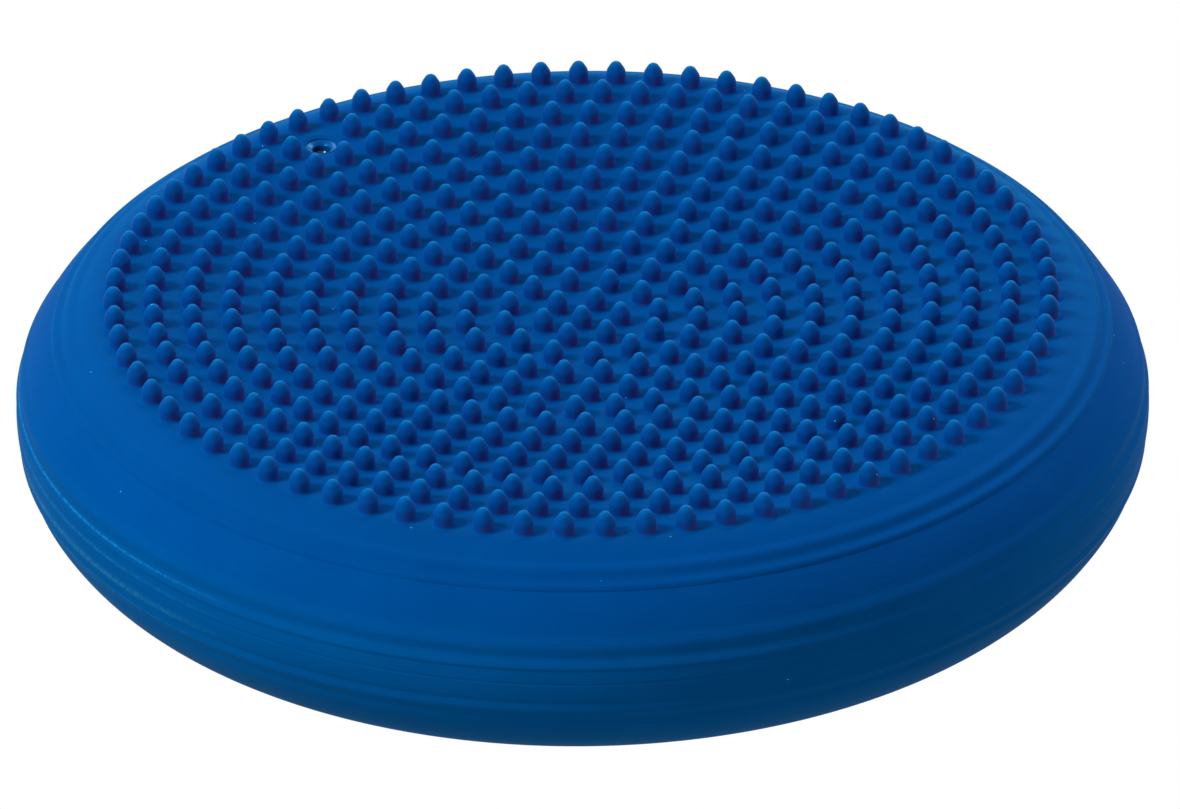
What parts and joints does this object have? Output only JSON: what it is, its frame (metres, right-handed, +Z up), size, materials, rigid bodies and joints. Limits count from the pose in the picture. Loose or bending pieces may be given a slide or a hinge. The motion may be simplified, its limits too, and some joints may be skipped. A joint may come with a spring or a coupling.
{
  "type": "balance cushion",
  "caption": "Round air-filled rubber balance cushion: nubbed, gently dished top, ribbed rounded wall, recessed needle valve; it sinks and tilts under load.",
  "frame": {"origin": "middle of the footprint, on the floor", "axes": "+Z up through the middle of the nubbed top, +Y from the middle towards the valve"},
  "size_m": [0.33, 0.33, 0.0718],
  "materials": {
    "skin": "satin",
    "band": "matte",
    "nubs": "satin",
    "valve": "satin"
  },
  "bodies": {
    "base": {"base_panel": "skin", "base_edge": "skin"},
    "wall": {"lower_ring": "skin", "lower_wall": "skin"},
    "band": {"equator_band": "band", "upper_wall": "skin"},
    "top": {"shoulder_ring": "skin", "top_panel": "skin", "centre_nub": "nubs", "nub_ring_01": "nubs", "nub_ring_02": "nubs", "nub_ring_03": "nubs", "nub_ring_04": "nubs", "nub_ring_05": "nubs", "nub_ring_06": "nubs", "nub_ring_07": "nubs", "nub_ring_08": "nubs", "nub_ring_09": "nubs", "nub_ring_10": "nubs", "nub_ring_11": "nubs", "nub_ring_12": "nubs", "valve_housing": "skin", "valve_core": "valve"}
  },
  "joints": [
    {"name": "sink", "type": "slide", "parent": "base", "child": "wall", "axis": [0, 0, 1], "range_m": [-0.005, 0], "stiffness_N_per_m": 30000, "springref_m": 0.0005, "deforming": ["base_edge"]},
    {"name": "tilt_x", "type": "hinge", "parent": "wall", "child": "band", "pos_m": [0, 0, 0.0335], "axis": [1, 0, 0], "range_deg": [-5, 5], "stiffness_Nm_per_rad": 250, "deforming": ["lower_wall"]},
    {"name": "tilt_y", "type": "hinge", "parent": "band", "child": "top", "pos_m": [0, 0, 0.0335], "axis": [0, 1, 0], "range_deg": [-5, 5], "stiffness_Nm_per_rad": 250, "deforming": ["upper_wall"]}
  ]
}
